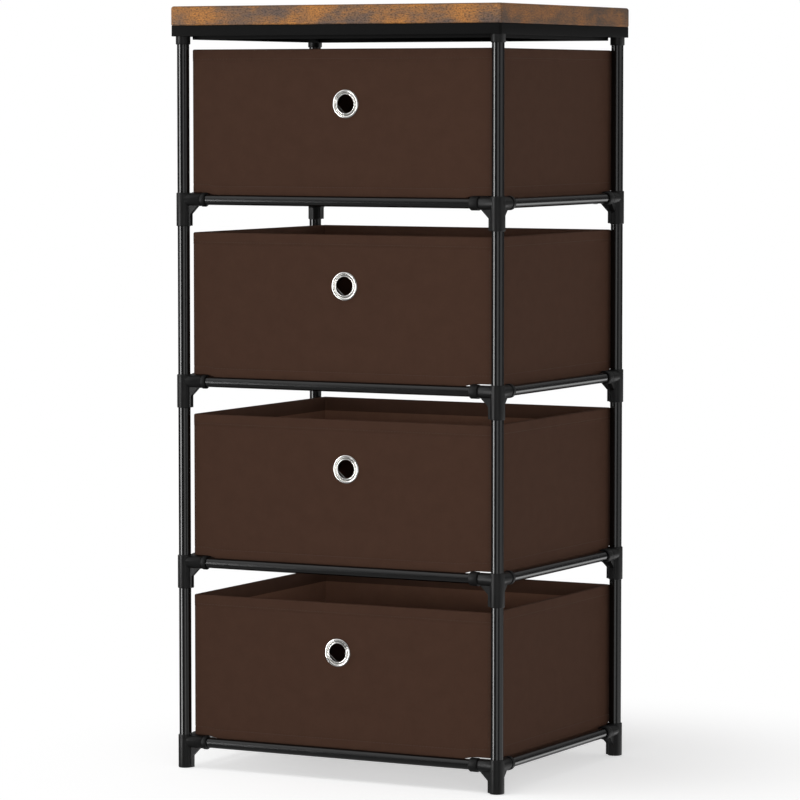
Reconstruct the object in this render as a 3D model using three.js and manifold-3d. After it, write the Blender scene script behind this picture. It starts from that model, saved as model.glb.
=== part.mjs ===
// Fabric drawer dresser: a four-tier tube rack with moulded corner connectors, a board top
// on a pressed channel frame, and four open fabric bins with metal finger eyelets.
// Millimetres, +Z up, front towards -Y, origin on the floor under the middle of the rack.

import * as THREE from 'three';
import { mergeVertices } from 'three/addons/utils/BufferGeometryUtils.js';
import Module from 'manifold-3d';

// Layout of the rack
const tierCount = 4;
const tierSpacing = 190;
const postSpacingX = 366.5;
const postSpacingY = 283.5;

// Clearances
const seatGap = 0.3;
const cutOverrun = 2;

// Tubes
const postDiameter = 12.8;
const postWall = 0.9;
const railDiameter = 10.8;
const railWall = 0.8;

// Corner connector: upright sleeve
const sleeveDiameter = 15.2;
const sleeveHeight = 35;
const sleeveChamfer = 0.7;
const footFloor = 3;

// Corner connector: two sockets for the rails
const armDiameter = 13.4;
const armTopDrop = 0.5;
const armBodyLengthShort = 23;
const armBodyLengthLong = 28;
const collarDiameter = 14.6;
const collarLength = 5;
const socketFloorWall = 1.4;

// Corner connector: gusset webs that run down the sleeve
const webWidth = 5;
const webReach = 9.4;
const webFootHeight = 12.8;
const gussetReach = 19;
const gussetEmbed = 1.5;

// Top frame: a channel pressed from sheet, open below
const frameRise = 18.5;
const frameSheet = 0.8;
const frameOuterLeg = 11.2;
const frameInnerLeg = 14.6;
const frameFrontMargin = 2.3;
const frameCornerRadius = 3;

// Top sockets that hold the upper ends of the posts
const topSocketDiameter = 15.2;
const topSocketDrop = 8.3;
const topSocketCeiling = 2;

// Top board
const boardThickness = 20;
const boardOverhang = 0.3;
const boardCornerRadius = 3.4;
const boardEdgeRound = 1.2;

// Fabric bins
const binLeftGap = 3.4;
const binRightGap = 0.6;
const binFrontSetback = 1.75;
const binBackOverhang = 2.25;
const binRimGap = 6.2;
const binWall = 3;
const binFloor = 2;
const binCornerRadius = 1.6;
const binInsideRadius = 1;
const binHemHeight = 12;
const binHemStand = 0.5;
const binBoardThickness = 2.5;
const binBoardGap = 1;

// Finger eyelets in the bin fronts
const eyeletBore = 18.4;
const eyeletFlange = 30;
const eyeletDome = 2.2;
const eyeletBarrelWall = 0.8;
const eyeletLipReach = 2.2;
const eyeletLipThickness = 0.8;
const washerDiameter = 28;
const washerThickness = 0.8;
// Place of each eyelet from the middle and from the rim of its bin, bottom bin first
const eyeletSideShifts = [-2.6, 7.5, 5.8, 7.4];
const eyeletRimDrops = [51.5, 51, 52.8, 56.4];

// Facets around each turned form
const tubeSides = 16;
const railSides = 10;
const eyeletSides = 20;
const eyeletDomeSteps = 4;
const cornerSteps = 3;

// Derived places, from the floor up
const sleeveRadius = sleeveDiameter / 2;
const armRadius = armDiameter / 2;
const armAxisHeight = sleeveHeight - armTopDrop - armRadius;
const postBoreRadius = postDiameter / 2 + seatGap;
const railBoreRadius = railDiameter / 2 + seatGap;
const socketFloor = postBoreRadius + socketFloorWall;
const halfSpacingX = postSpacingX / 2;
const halfSpacingY = postSpacingY / 2;
const collarRadius = collarDiameter / 2;
const binBase = armAxisHeight + Math.max(armRadius, collarRadius) + seatGap;
const frameTop = tierCount * tierSpacing + frameRise;
const topSocketRadius = topSocketDiameter / 2;
const frameHalfX = halfSpacingX + topSocketRadius + seatGap + frameSheet;
const frameHalfY = halfSpacingY + topSocketRadius + seatGap + frameSheet + frameFrontMargin;
const topSocketBottom = frameTop - frameOuterLeg - topSocketDrop;
const topSocketTop = frameTop - frameSheet - seatGap;
const postBottom = footFloor + seatGap;
const postTop = topSocketTop - topSocketCeiling - seatGap;

// Derived sizes of a bin
const binRight = halfSpacingX - postDiameter / 2 - binRightGap;
const binLeft = -halfSpacingX + postDiameter / 2 + binLeftGap;
const binFront = -halfSpacingY + binFrontSetback;
const binBack = halfSpacingY + binBackOverhang;
const binWidth = binRight - binLeft - 2 * binHemStand;
const binDepth = binBack - binFront - 2 * binHemStand;
const binHeight = tierSpacing - binBase - binRimGap;
const binMiddleX = (binLeft + binRight) / 2;
const binMiddleY = (binFront + binBack) / 2;
const eyeletBarrelRadius = eyeletBore / 2 + eyeletBarrelWall;

const colours = {
  tube: { color: 0x141414, roughness: 0.28, metalness: 0.35 },
  plastic: { color: 0x1b1b1c, roughness: 0.55, metalness: 0.0 },
  frame: { color: 0x161616, roughness: 0.45, metalness: 0.3 },
  board: { color: 0x87643f, roughness: 0.55, metalness: 0.0 },
  fabric: { color: 0x453228, roughness: 0.95, metalness: 0.0 },
  lining: { color: 0x32241c, roughness: 0.95, metalness: 0.0 },
  plating: { color: 0xc9c8c4, roughness: 0.18, metalness: 1.0 },
};

const wasm = await Module();
wasm.setup();

// Closed mesh with shared corners, as a solid that can be joined and cut
function solidOf(geometry) {
  const bare = geometry.clone();
  bare.deleteAttribute('normal');
  bare.deleteAttribute('uv');
  const merged = mergeVertices(bare);
  const index = merged.getIndex().array;
  const triangles = [];
  for (let start = 0; start < index.length; start += 3) {
    const [a, b, c] = index.subarray(start, start + 3);
    // A turned outline that starts on the axis has flat triangles there
    if (a !== b && b !== c && c !== a) triangles.push(a, b, c);
  }
  const mesh = new wasm.Mesh({
    numProp: 3,
    vertProperties: new Float32Array(merged.getAttribute('position').array),
    triVerts: new Uint32Array(triangles),
  });
  return new wasm.Manifold(mesh);
}

// The solid's surface as a geometry
function geometryOf(solid) {
  const mesh = solid.getMesh();
  const geometry = new THREE.BufferGeometry();
  geometry.setAttribute('position', new THREE.BufferAttribute(mesh.vertProperties, 3));
  geometry.setIndex(new THREE.BufferAttribute(mesh.triVerts, 1));
  geometry.computeVertexNormals();
  return geometry;
}

// Upright round bar between two heights
function uprightBar(radius, bottom, top, sides) {
  const bar = new THREE.CylinderGeometry(radius, radius, top - bottom, sides);
  return bar.rotateX(Math.PI / 2).translate(0, 0, (bottom + top) / 2);
}

// Round bar along +X between two distances
function levelBar(radius, start, end, sides) {
  const bar = new THREE.CylinderGeometry(radius, radius, end - start, sides);
  return bar.rotateZ(Math.PI / 2).translate((start + end) / 2, 0, 0);
}

// Ring turned about +Z from an outline of [radius, height] corners, outer side upwards
function turnedRing(outline, sides) {
  const points = outline.map(([radius, height]) => new THREE.Vector2(radius, height));
  points.push(points[0].clone());
  return new THREE.LatheGeometry(points, sides).rotateX(Math.PI / 2);
}

// Hollow tube about +Z, open at both ends
function tube(outerRadius, wall, length, sides) {
  const innerRadius = outerRadius - wall;
  return turnedRing([
    [outerRadius, 0],
    [outerRadius, length],
    [innerRadius, length],
    [innerRadius, 0],
  ], sides);
}

// Rectangle about the origin with round corners
function roundedRectangle(halfX, halfY, radius) {
  const shape = new THREE.Shape();
  shape.moveTo(-halfX + radius, -halfY);
  shape.lineTo(halfX - radius, -halfY);
  shape.absarc(halfX - radius, -halfY + radius, radius, -Math.PI / 2, 0);
  shape.lineTo(halfX, halfY - radius);
  shape.absarc(halfX - radius, halfY - radius, radius, 0, Math.PI / 2);
  shape.lineTo(-halfX + radius, halfY);
  shape.absarc(-halfX + radius, halfY - radius, radius, Math.PI / 2, Math.PI);
  shape.lineTo(-halfX, -halfY + radius);
  shape.absarc(-halfX + radius, -halfY + radius, radius, Math.PI, 3 * Math.PI / 2);
  return shape;
}

// Slab with round upright corners between two heights
function roundedSlab(halfX, halfY, radius, bottom, top) {
  const slab = new THREE.ExtrudeGeometry(roundedRectangle(halfX, halfY, radius), {
    depth: top - bottom,
    bevelEnabled: false,
    curveSegments: cornerSteps,
  });
  return slab.translate(0, 0, bottom);
}

// Rail socket along +X at the arm's height, with a thicker collar round its mouth
function armSolid(bodyLength) {
  const body = solidOf(levelBar(armRadius, 0, bodyLength, railSides));
  const collar = solidOf(levelBar(collarRadius, bodyLength, bodyLength + collarLength, railSides));
  return body.add(collar).translate([0, 0, armAxisHeight]);
}

// Web under an arm: it runs down the sleeve and rises at a slant to the arm's underside
function webSolid() {
  const outline = new THREE.Shape();
  outline.moveTo(0, 0);
  outline.lineTo(webReach, 0);
  outline.lineTo(webReach, webFootHeight);
  outline.lineTo(gussetReach, armAxisHeight - armRadius + gussetEmbed);
  outline.lineTo(gussetReach, armAxisHeight);
  outline.lineTo(0, armAxisHeight);
  const web = new THREE.ExtrudeGeometry(outline, { depth: webWidth, bevelEnabled: false });
  return solidOf(web.rotateX(Math.PI / 2).translate(0, webWidth / 2, 0));
}

// Solid sleeve with its lower and upper rims chamfered
function sleeveSolid() {
  const rimRadius = sleeveRadius - sleeveChamfer;
  return solidOf(turnedRing([
    [0, 0],
    [rimRadius, 0],
    [sleeveRadius, sleeveChamfer],
    [sleeveRadius, sleeveHeight - sleeveChamfer],
    [rimRadius, sleeveHeight],
    [0, sleeveHeight],
  ], tubeSides));
}

// Corner connector about its post, short arm along +X and long arm along +Y.
// The post goes through it, or stands on its floor where it is a foot.
function connectorGeometry(floorThickness) {
  const quarterTurn = 90;
  const shortArm = armSolid(armBodyLengthShort).add(webSolid());
  const longArm = armSolid(armBodyLengthLong).add(webSolid()).rotate([0, 0, quarterTurn]);
  const boreBottom = floorThickness > 0 ? floorThickness : -cutOverrun;
  const postBore = uprightBar(postBoreRadius, boreBottom, sleeveHeight + cutOverrun, tubeSides);
  const boreEnd = Math.max(armBodyLengthShort, armBodyLengthLong) + collarLength + cutOverrun;
  const railBore = solidOf(levelBar(railBoreRadius, socketFloor, boreEnd, railSides))
    .translate([0, 0, armAxisHeight]);
  const body = sleeveSolid()
    .add(shortArm)
    .add(longArm)
    .subtract(solidOf(postBore))
    .subtract(railBore)
    .subtract(railBore.rotate([0, 0, quarterTurn]));
  return geometryOf(body);
}

// Channel frame under the board, with its outer leg shorter than its inner leg
function topFrameGeometry() {
  const legTop = frameTop - frameSheet;
  const innerBottom = frameTop - frameInnerLeg;
  const innerHalfX = halfSpacingX - topSocketRadius - seatGap;
  const innerHalfY = halfSpacingY - topSocketRadius - seatGap;
  const channelRadius = frameCornerRadius - frameSheet;
  const below = innerBottom - cutOverrun;
  const ring = (outerX, outerY, outerRadius, holeX, holeY, bottom, top) =>
    solidOf(roundedSlab(outerX, outerY, outerRadius, bottom, top))
      .subtract(solidOf(roundedSlab(holeX, holeY, channelRadius, bottom - cutOverrun, top + cutOverrun)));
  const throughX = innerHalfX - frameSheet;
  const throughY = innerHalfY - frameSheet;
  const block = ring(frameHalfX, frameHalfY, frameCornerRadius, throughX, throughY, innerBottom, frameTop);
  const channel = ring(frameHalfX - frameSheet, frameHalfY - frameSheet, channelRadius,
    innerHalfX, innerHalfY, below, legTop);
  const legTrim = ring(frameHalfX + cutOverrun, frameHalfY + cutOverrun, frameCornerRadius,
    innerHalfX, innerHalfY, below, frameTop - frameOuterLeg);
  return geometryOf(block.subtract(channel).subtract(legTrim));
}

// Socket that hangs from the channel and closes over the post's upper end
function topSocketGeometry() {
  const body = uprightBar(topSocketRadius, topSocketBottom, topSocketTop, tubeSides);
  const bore = uprightBar(postBoreRadius, topSocketBottom - cutOverrun,
    topSocketTop - topSocketCeiling, tubeSides);
  return geometryOf(solidOf(body).subtract(solidOf(bore)));
}

// Board with round corners and eased edges
function boardGeometry() {
  const halfX = frameHalfX + boardOverhang;
  const halfY = frameHalfY + boardOverhang;
  return new THREE.ExtrudeGeometry(roundedRectangle(halfX, halfY, boardCornerRadius), {
    depth: boardThickness - 2 * boardEdgeRound,
    bevelThickness: boardEdgeRound,
    bevelSize: boardEdgeRound,
    bevelOffset: -boardEdgeRound,
    bevelSegments: 2,
    curveSegments: cornerSteps,
  }).translate(0, 0, frameTop + boardEdgeRound);
}

// Open fabric bin about its own middle, standing on z = 0, with a turned hem round the rim
function binGeometry(eyeletX, eyeletZ) {
  const halfX = binWidth / 2;
  const halfY = binDepth / 2;
  const hemRadius = binCornerRadius + binHemStand;
  const hemX = halfX + binHemStand;
  const hemY = halfY + binHemStand;
  const walls = solidOf(roundedSlab(halfX, halfY, binCornerRadius, 0, binHeight));
  const rimHem = solidOf(roundedSlab(hemX, hemY, hemRadius, binHeight - binHemHeight, binHeight));
  const inside = solidOf(roundedSlab(halfX - binWall, halfY - binWall, binInsideRadius,
    binFloor, binHeight + cutOverrun));
  const holeRadius = eyeletBarrelRadius + seatGap;
  const hole = new THREE.CylinderGeometry(holeRadius, holeRadius, 2 * (binWall + cutOverrun), eyeletSides);
  hole.translate(eyeletX, -halfY, eyeletZ);
  return geometryOf(walls.add(rimHem).subtract(inside).subtract(solidOf(hole)));
}

// Stiff board that lies loose on the bin's floor
function binBoardGeometry() {
  const halfX = binWidth / 2 - binWall - binBoardGap;
  const halfY = binDepth / 2 - binWall - binBoardGap;
  const bottom = binFloor + seatGap;
  return roundedSlab(halfX, halfY, binInsideRadius, bottom, bottom + binBoardThickness);
}

// Eyelet turned about +Z with its dome at the top: flange, barrel and the lip rolled behind
function eyeletGeometry() {
  const bore = eyeletBore / 2;
  const flange = eyeletFlange / 2;
  const middle = (bore + flange) / 2;
  const halfBand = (flange - bore) / 2;
  const behind = -(binWall + 2 * seatGap + washerThickness);
  const lipRadius = eyeletBarrelRadius + eyeletLipReach;
  const outline = [
    [bore, behind - eyeletLipThickness],
    [lipRadius, behind - eyeletLipThickness],
    [lipRadius, behind],
    [eyeletBarrelRadius, behind],
    [eyeletBarrelRadius, 0],
    [flange, 0],
  ];
  for (let step = 1; step < eyeletDomeSteps; step += 1) {
    const angle = Math.PI * step / eyeletDomeSteps;
    outline.push([middle + halfBand * Math.cos(angle), eyeletDome * Math.sin(angle)]);
  }
  outline.push([bore, 0]);
  return turnedRing(outline, eyeletSides);
}

// Flat washer for the inner side of the bin's front wall
function washerGeometry() {
  const holeRadius = eyeletBarrelRadius + seatGap;
  return turnedRing([
    [holeRadius, 0],
    [washerDiameter / 2, 0],
    [washerDiameter / 2, washerThickness],
    [holeRadius, washerThickness],
  ], eyeletSides);
}

// One named piece with a finish of its own
function piece(name, geometry, finish) {
  const mesh = new THREE.Mesh(geometry, new THREE.MeshStandardMaterial(finish));
  mesh.name = name;
  return mesh;
}

const corners = [
  { name: 'front_left', x: -halfSpacingX, y: -halfSpacingY, turn: 0 },
  { name: 'front_right', x: halfSpacingX, y: -halfSpacingY, turn: Math.PI / 2 },
  { name: 'back_right', x: halfSpacingX, y: halfSpacingY, turn: Math.PI },
  { name: 'back_left', x: -halfSpacingX, y: halfSpacingY, turn: 3 * Math.PI / 2 },
];

// Posts and the sockets on their upper ends
function buildPosts() {
  const group = new THREE.Group();
  for (const corner of corners) {
    const post = piece(`post_${corner.name}`,
      tube(postDiameter / 2, postWall, postTop - postBottom, tubeSides), colours.tube);
    post.position.set(corner.x, corner.y, postBottom);
    const socket = piece(`top_socket_${corner.name}`, topSocketGeometry(), colours.plastic);
    socket.position.set(corner.x, corner.y, 0);
    group.add(post, socket);
  }
  return group;
}

// Four connectors of one tier, tier 0 being the feet
function buildConnectors(tier) {
  const group = new THREE.Group();
  for (const corner of corners) {
    const isFoot = tier === 0;
    const name = isFoot ? `foot_connector_${corner.name}` : `connector_${tier + 1}_${corner.name}`;
    const connector = piece(name, connectorGeometry(isFoot ? footFloor : 0), colours.plastic);
    connector.position.set(corner.x, corner.y, 0);
    connector.rotation.z = corner.turn;
    group.add(connector);
  }
  group.position.z = tier * tierSpacing;
  return group;
}

// Four rails of one tier, each with its ends in two facing sockets
function buildRails(tier) {
  const group = new THREE.Group();
  const endInset = 2 * (socketFloor + seatGap);
  const runs = [
    { side: 'front', span: postSpacingX, x: 0, y: -halfSpacingY, turn: 0 },
    { side: 'back', span: postSpacingX, x: 0, y: halfSpacingY, turn: 0 },
    { side: 'left', span: postSpacingY, x: -halfSpacingX, y: 0, turn: Math.PI / 2 },
    { side: 'right', span: postSpacingY, x: halfSpacingX, y: 0, turn: Math.PI / 2 },
  ];
  for (const run of runs) {
    const length = run.span - endInset;
    const bar = tube(railDiameter / 2, railWall, length, railSides);
    bar.translate(0, 0, -length / 2).rotateY(Math.PI / 2);
    const rail = piece(`rail_${tier + 1}_${run.side}`, bar, colours.tube);
    rail.position.set(run.x, run.y, armAxisHeight);
    rail.rotation.z = run.turn;
    group.add(rail);
  }
  group.position.z = tier * tierSpacing;
  return group;
}

// One bin with its loose board and its eyelet
function buildBin(tier) {
  const group = new THREE.Group();
  const eyeletX = eyeletSideShifts[tier];
  const eyeletZ = binHeight - eyeletRimDrops[tier];
  const label = `bin_${tier + 1}`;
  const eyelet = piece(`${label}_eyelet`, eyeletGeometry(), colours.plating);
  const washer = piece(`${label}_eyelet_washer`, washerGeometry(), colours.plating);
  const frontFace = -binDepth / 2;
  eyelet.rotation.x = Math.PI / 2;
  eyelet.position.set(eyeletX, frontFace - seatGap, eyeletZ);
  washer.rotation.x = -Math.PI / 2;
  washer.position.set(eyeletX, frontFace + binWall + seatGap, eyeletZ);
  group.add(
    piece(`${label}_fabric`, binGeometry(eyeletX, eyeletZ), colours.fabric),
    piece(`${label}_floor_board`, binBoardGeometry(), colours.lining),
    eyelet,
    washer,
  );
  group.position.set(binMiddleX, binMiddleY, tier * tierSpacing + binBase);
  return group;
}

const dresser = new THREE.Group();
dresser.add(buildPosts());
for (let tier = 0; tier < tierCount; tier += 1) {
  dresser.add(buildConnectors(tier), buildRails(tier), buildBin(tier));
}
dresser.add(
  piece('top_frame', topFrameGeometry(), colours.frame),
  piece('top_board', boardGeometry(), colours.board),
);

export default dresser;
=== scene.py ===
"""Looks of a fabric drawer dresser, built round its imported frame.

The rack, its connectors, the board top and the four bins take their places from the frame, and every
piece is made here as a finished mesh with a procedural finish. Sizes are in metres.
"""

import logging
import math
from dataclasses import dataclass, field
from enum import Enum
from typing import Any, Callable, Iterable, Iterator, Sequence

import bpy
import numpy as np
from mathutils import Euler, Matrix, Vector, noise


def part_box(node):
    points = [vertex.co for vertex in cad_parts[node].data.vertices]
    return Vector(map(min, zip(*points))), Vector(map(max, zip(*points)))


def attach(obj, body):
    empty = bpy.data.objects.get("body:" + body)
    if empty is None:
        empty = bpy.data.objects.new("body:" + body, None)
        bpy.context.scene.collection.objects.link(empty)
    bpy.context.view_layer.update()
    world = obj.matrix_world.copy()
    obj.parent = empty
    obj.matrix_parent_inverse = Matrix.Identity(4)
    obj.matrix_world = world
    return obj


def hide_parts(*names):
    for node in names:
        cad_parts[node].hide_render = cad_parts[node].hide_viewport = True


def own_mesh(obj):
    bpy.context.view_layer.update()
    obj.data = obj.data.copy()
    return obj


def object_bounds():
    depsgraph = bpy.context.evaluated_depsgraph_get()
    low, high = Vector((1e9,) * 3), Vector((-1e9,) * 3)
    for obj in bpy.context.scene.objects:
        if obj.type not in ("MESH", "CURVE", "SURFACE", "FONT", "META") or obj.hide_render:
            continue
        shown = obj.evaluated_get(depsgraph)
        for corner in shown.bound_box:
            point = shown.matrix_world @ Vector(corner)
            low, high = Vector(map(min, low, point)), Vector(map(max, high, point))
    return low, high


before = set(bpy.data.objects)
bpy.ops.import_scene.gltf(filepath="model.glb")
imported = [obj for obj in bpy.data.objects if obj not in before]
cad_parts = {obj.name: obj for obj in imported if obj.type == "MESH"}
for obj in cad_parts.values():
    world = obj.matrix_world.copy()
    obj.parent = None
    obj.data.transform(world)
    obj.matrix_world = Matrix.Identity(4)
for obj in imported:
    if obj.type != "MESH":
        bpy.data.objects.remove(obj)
CAD_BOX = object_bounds()

MM = 0.001
TIERS = range(1, 5)
FULL_TURN = 2 * math.pi
QUARTER_TURN = math.pi / 2
SHARP_ANGLE = math.radians(38)

Colour = tuple[float, float, float, float]
Pair = tuple[float, float]
Point = tuple[float, float, float]
Outline = Sequence[Pair]
Edge = tuple[int, int]
Thing = bpy.types.Object
Mesh = bpy.types.Mesh
Material = bpy.types.Material

log = logging.getLogger("dresser")


def linear(*levels: int) -> Colour:
    """Turns display levels into a linear colour.

    Args:
        levels: Red, green and blue, 0 to 255.

    Returns:
        The linear colour with full alpha.
    """
    toe, toe_slope, offset, gain, gamma = 0.04045, 12.92, 0.055, 1.055, 2.4
    shares = [level / 255 for level in levels]
    return (*(s / toe_slope if s <= toe else ((s + offset) / gain) ** gamma for s in shares), 1.0)


def maths(operation: str, swapped: bool = False) -> Callable[..., "Signal"]:
    """Makes a method of Signal that adds one Math node.

    Args:
        operation: What the node does.
        swapped: Whether the signal comes after the other value.

    Returns:
        The method.
    """
    def method(self: "Signal", *others: "Signal | float") -> "Signal":
        """Adds the node on this signal and the others."""
        values = (*others, self) if swapped else (self, *others)
        return self.nodes.add("ShaderNodeMath", {"operation": operation}, dict(enumerate(values)))
    return method


class Signal:
    """An output socket of a node tree, whose arithmetic adds Math nodes."""

    __add__ = maths("ADD")
    __radd__ = maths("ADD", swapped=True)
    __sub__ = maths("SUBTRACT")
    __rsub__ = maths("SUBTRACT", swapped=True)
    __mul__ = maths("MULTIPLY")
    __rmul__ = maths("MULTIPLY", swapped=True)
    sine = maths("SINE")
    size = maths("ABSOLUTE")

    def __init__(self, nodes: "Nodes", socket: bpy.types.NodeSocket) -> None:
        """Keeps the socket and the tree that it belongs to."""
        self.nodes = nodes
        self.socket = socket

    def ramp(self, low: float, high: float, smooth: bool = True) -> "Signal":
        """Maps low to 0 and high to 1, held outside them.

        Args:
            low: Value that becomes 0.
            high: Value that becomes 1.
            smooth: Whether the slope eases in and out.

        Returns:
            The mapped signal.
        """
        settings = {"interpolation_type": "SMOOTHSTEP" if smooth else "LINEAR"}
        sockets = {"Value": self, "From Min": low, "From Max": high}
        return self.nodes.add("ShaderNodeMapRange", settings, sockets)


class Nodes:
    """A node tree while it is being laid out."""

    def __init__(self, tree: bpy.types.NodeTree) -> None:
        """Keeps the tree."""
        self.tree = tree

    def add(self, kind: str, settings: dict[str, Any] | None = None,
            sockets: dict[str | int, Any] | None = None, output: str | int = 0) -> Signal | None:
        """Adds a node, sets it up and feeds its sockets.

        Args:
            kind: The node's type.
            settings: Properties of the node, and the stops of a colour ramp.
            sockets: Values or signals by the socket's place, identifier or name.
            output: The output wanted, in the same ways.

        Returns:
            The output as a signal, or nothing where the node has none.
        """
        node = self.tree.nodes.new(kind)
        for name, value in (settings or {}).items():
            if name == "stops":
                self.set_stops(node.color_ramp.elements, value)
            else:
                setattr(node, name, value)
        for key, value in (sockets or {}).items():
            socket = self.find(node.inputs, key)
            if isinstance(value, Signal):
                self.tree.links.new(value.socket, socket)
            else:
                socket.default_value = value
        return Signal(self, self.find(node.outputs, output)) if node.outputs else None

    @staticmethod
    def find(sockets: Any, key: str | int) -> bpy.types.NodeSocket:
        """Finds a socket by its place, its identifier or its name."""
        same = [] if isinstance(key, int) else [s for s in sockets if s.identifier == key]
        return same[0] if same else sockets[key]

    @staticmethod
    def set_stops(elements: Any, stops: Sequence[tuple[float, Colour]]) -> None:
        """Gives a colour ramp its stops.

        Args:
            elements: The ramp's own stops.
            stops: Place and colour of each, from low to high.
        """
        while len(elements) < len(stops):
            elements.new(1.0)
        for element, (place, colour) in zip(elements, stops):
            element.position = place
            element.color = colour

    def vector(self, **parts: Signal | float) -> Signal:
        """Makes a vector of its X, Y and Z."""
        return self.add("ShaderNodeCombineXYZ", None, parts)

    def axis(self, source: Signal, name: str) -> Signal:
        """Gives one axis of a vector."""
        return self.add("ShaderNodeSeparateXYZ", None, {"Vector": source}, name)

    def ray(self, kind: str) -> Signal:
        """Tells by 1 or 0 whether a ray is of a kind, such as Camera."""
        return self.add("ShaderNodeLightPath", output=f"Is {kind} Ray")


class Shading(Nodes):
    """The node tree of one material."""

    def __init__(self, name: str) -> None:
        """Starts an empty material.

        Args:
            name: Its name.
        """
        self.material = bpy.data.materials.new(name)
        self.material.use_nodes = True
        self.material.node_tree.nodes.clear()
        super().__init__(self.material.node_tree)

    def place(self, source: str = "Object") -> Signal:
        """Gives the point of the surface, by object or by UV map."""
        return self.add("ShaderNodeTexCoord", output=source)

    def clouds(self, source: Signal, scale: float, detail: float = 2.0, rough: float = 0.5,
               stretch: Point | None = None) -> Signal:
        """Gives smooth noise from 0 to 1.

        Args:
            source: Coordinates in metres.
            scale: Grains to a metre.
            detail: How many finer layers it has.
            rough: How strong the finer layers are.
            stretch: Scale of the coordinates along each axis, for grains that are longer than wide.

        Returns:
            The noise.
        """
        if stretch:
            source = self.add("ShaderNodeMapping", None, {"Vector": source, "Scale": stretch})
        sockets = {"Vector": source, "Scale": scale, "Detail": detail, "Roughness": rough}
        return self.add("ShaderNodeTexNoise", None, sockets, "Fac")

    def mixed(self, share: Signal, first: Signal | Colour, second: Signal | Colour) -> Signal:
        """Mixes a share of the second colour into the first."""
        sockets = {"Factor_Float": share, "A_Color": first, "B_Color": second}
        return self.add("ShaderNodeMix", {"data_type": "RGBA"}, sockets, "Result_Color")

    def relief(self, height: Signal, depth: float, strength: float = 1.0) -> Signal:
        """Turns a height from 0 to 1 into a normal, for a relief of the given depth."""
        return self.add("ShaderNodeBump", None, {"Height": height, "Distance": depth, "Strength": strength})

    def surface(self, colour: Signal, rough: Signal, normal: Signal, specular: float = 0.5,
                metallic: float = 0.0) -> Material:
        """Ends the tree in a Principled surface.

        Args:
            colour: The base colour.
            rough: The roughness.
            normal: The normal, from a relief.
            specular: How strongly it reflects as a plain surface.
            metallic: 1 for bare metal.

        Returns:
            The finished material.
        """
        sockets = {"Base Color": colour, "Metallic": metallic, "Roughness": rough,
                   "Specular IOR Level": specular, "Normal": normal}
        shader = self.add("ShaderNodeBsdfPrincipled", None, sockets)
        self.add("ShaderNodeOutputMaterial", None, {"Surface": shader})
        return self.material


@dataclass(frozen=True)
class Finish:
    """A finish that makes its material once, under its name."""

    name: str

    def material(self) -> Material:
        """Gives the material, made on first use."""
        return bpy.data.materials.get(self.name) or self.make(Shading(self.name))

    def make(self, shading: Shading) -> Material:
        """Lays out the material in an empty node tree and gives it."""
        raise NotImplementedError


@dataclass(frozen=True)
class TubeEnamel(Finish):
    """Gloss black powder coat, with a fine orange peel and a trace of dust."""

    name: str = "tube_enamel"
    coat: Colour = linear(5, 5, 5)
    dusted: Colour = linear(17, 17, 18)
    gloss: float = 0.17
    grains: float = 700.0
    dust_grains: float = 55.0
    peel_depth: float = 0.0003 * MM

    def make(self, shading: Shading) -> Material:
        """Lays out the nodes.

        Args:
            shading: The material's empty tree.

        Returns:
            The material.
        """
        place = shading.place()
        dust = shading.clouds(place, self.dust_grains, 6.0, 0.65).ramp(0.5, 0.85)
        scuff = shading.clouds(place, self.grains, 3.0, stretch=(1.0, 1.0, 0.06)).ramp(0.62, 0.8)
        peel = shading.clouds(place, self.grains, 1.0)
        colour = shading.mixed(0.3 * dust + 0.1 * scuff, self.coat, self.dusted)
        rough = self.gloss + 0.03 * dust + 0.02 * scuff
        return shading.surface(colour, rough, shading.relief(peel, self.peel_depth))


@dataclass(frozen=True)
class MouldedPlastic(Finish):
    """Satin black moulded plastic with a fine spark-eroded grain."""

    name: str = "moulded_plastic"
    colour: Colour = linear(12, 12, 12)
    worn: Colour = linear(26, 26, 26)
    rough: float = 0.36
    grains: float = 1800.0
    flow_grains: float = 90.0
    grain_depth: float = 0.02 * MM

    def make(self, shading: Shading) -> Material:
        """Lays out the nodes.

        Args:
            shading: The material's empty tree.

        Returns:
            The material.
        """
        place = shading.place()
        grain = shading.clouds(place, self.grains, 3.0, 0.6)
        flow = shading.clouds(place, self.flow_grains, 4.0).ramp(0.35, 0.8)
        colour = shading.mixed(0.4 * flow, self.colour, self.worn)
        rough = self.rough + 0.1 * flow + 0.06 * grain
        return shading.surface(colour, rough, shading.relief(grain, self.grain_depth), specular=0.22)


@dataclass(frozen=True)
class SheetCoat(Finish):
    """Satin black coat on pressed sheet."""

    name: str = "sheet_coat"
    colour: Colour = linear(12, 12, 12)
    dusted: Colour = linear(22, 22, 22)
    grains: float = 1100.0
    dust_grains: float = 40.0
    peel_depth: float = 0.012 * MM

    def make(self, shading: Shading) -> Material:
        """Lays out the nodes.

        Args:
            shading: The material's empty tree.

        Returns:
            The material.
        """
        place = shading.place()
        peel = shading.clouds(place, self.grains)
        dust = shading.clouds(place, self.dust_grains, 6.0, 0.7).ramp(0.5, 0.9)
        colour = shading.mixed(0.4 * dust, self.colour, self.dusted)
        rough = 0.5 + 0.12 * dust + 0.08 * peel
        return shading.surface(colour, rough, shading.relief(peel, self.peel_depth), specular=0.06)


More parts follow.
